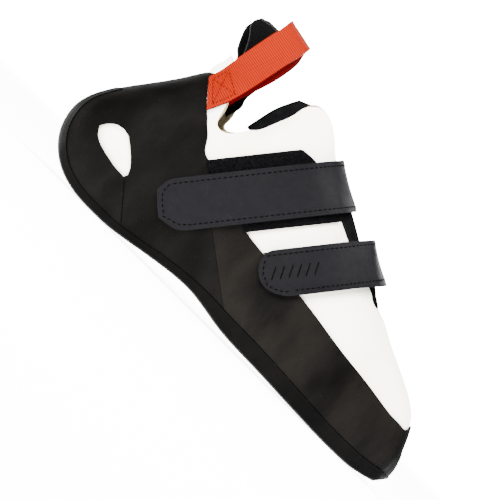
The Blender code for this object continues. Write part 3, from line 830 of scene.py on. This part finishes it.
grooveLook = {
    "joint": ((212.5, 164), (213.2, 231), (224.4, 313)),
    "jointRadius": 0.0006,
    "heelSeam": ((126.3, 179.5), (125.4, 189), (124.0, 208), (121.5, 232)),
    "seamRadius": 0.00028,
    "bars": {
        "count": 6, "start": (271, 280), "rise": (5, -15), "pitch": (8.5, -1.0),
        "radius": 0.00038, "lift": -0.0001,
    },
}


def makeGrooves():
    joint = [pictured(*place) for place in grooveLook["joint"]]
    tree = treeOf(upperShell)
    runs = [sideRun(tree, joint, -1), sideRun(tree, joint, 1)]
    makeLines("randJointBed", soleRubber, "rand_rubber", runs, grooveLook["jointRadius"])
    seam = [pictured(*place) for place in grooveLook["heelSeam"]]
    runs = [sideRun(treeOf(randHeel), seam)]
    makeLines("heelSeamLine", blackThread, "rand_rubber", runs, grooveLook["seamRadius"])
    bars = grooveLook["bars"]
    tree = treeOf(strapLower)
    runs = []
    for number in range(bars["count"]):
        across = bars["start"][0] + number * bars["pitch"][0]
        down = bars["start"][1] + number * bars["pitch"][1]
        ends = ((across, down), (across + bars["rise"][0], down + bars["rise"][1]))
        runs.append(sideRun(tree, [pictured(*end) for end in ends]))
    makeLines("strapBars", blackThread, "strap_rubber", runs, bars["radius"], bars["lift"])


makeGrooves()


# Stage, light and camera

stageLook = {
    "distance": 2.2,
    "across": 0.2625,
    "roll": 44.9,
    "middle": (0.0747, 0.0441),
    "clip": (0.1, 50.0),
    "paint": 0.93,
    "floorSize": 16.0,
    "floorGlow": 8.0,
    "backSize": 1.6,
    "backPlace": (0.08, 2.7, 0.79),
    "backGlow": 12.0,
    "air": 0.8,
    "aim": (0.08, 0.0, 0.05),
    "lamps": (
        ("keyLight", (-0.5, -1.6, 1.2), 1.1, 165),
        ("topLight", (0.5, -0.1, 1.8), 1.3, 140),
        ("backLight", (-0.9, 1.3, 1.0), 1.0, 25),
    ),
}


def paleMaterial(name, glow):
    pale = newMaterial(name, 1.0, **{"Specular IOR Level": 0.0, "Emission Strength": glow})
    shader = pale.node_tree.nodes["Principled BSDF"]
    shader.inputs["Base Color"].default_value = (*[stageLook["paint"]] * 3, 1)
    shader.inputs["Emission Color"].default_value = (1, 1, 1, 1)
    return pale


def makeStage():
    bpy.ops.mesh.primitive_plane_add(size=stageLook["floorSize"])
    floor = bpy.context.object
    floor.name = "floor"
    floor.data.materials.append(paleMaterial("paleFloor", stageLook["floorGlow"]))
    bpy.ops.mesh.primitive_plane_add(
        size=stageLook["backSize"], location=stageLook["backPlace"], rotation=(math.radians(90), 0, 0),
    )
    backdrop = bpy.context.object
    backdrop.name = "backdrop"
    backdrop.data.materials.append(paleMaterial("paleBackdrop", stageLook["backGlow"]))
    world = bpy.data.worlds.new("softStudio")
    bpy.context.scene.world = world
    world.use_nodes = True
    world.node_tree.nodes["Background"].inputs["Color"].default_value = (1, 1, 1, 1)
    world.node_tree.nodes["Background"].inputs["Strength"].default_value = stageLook["air"]
    for name, place, size, power in stageLook["lamps"]:
        lamp = bpy.data.lights.new(name, "AREA")
        lamp.size = size
        lamp.energy = power
        holder = bpy.data.objects.new(name, lamp)
        holder.location = place
        aim = Vector(stageLook["aim"]) - holder.location
        holder.rotation_euler = aim.to_track_quat("-Z", "Y").to_euler()
        bpy.context.scene.collection.objects.link(holder)


def makeCamera():
    camera = bpy.data.cameras.new("camera")
    camera.sensor_width = 36.0
    camera.lens = camera.sensor_width * stageLook["distance"] / stageLook["across"]
    camera.clip_start, camera.clip_end = stageLook["clip"]
    holder = bpy.data.objects.new("camera", camera)
    turn = math.radians(stageLook["roll"])
    right = Vector((math.cos(turn), 0.0, math.sin(turn)))
    up = Vector((-math.sin(turn), 0.0, math.cos(turn)))
    back = Vector((0.0, -1.0, 0.0))
    x, z = stageLook["middle"]
    holder.matrix_world = Matrix((
        (right.x, up.x, back.x, x),
        (right.y, up.y, back.y, -stageLook["distance"]),
        (right.z, up.z, back.z, z),
        (0, 0, 0, 1),
    ))
    bpy.context.scene.collection.objects.link(holder)
    bpy.context.scene.camera = holder


makeStage()
makeCamera()
print("stage made")
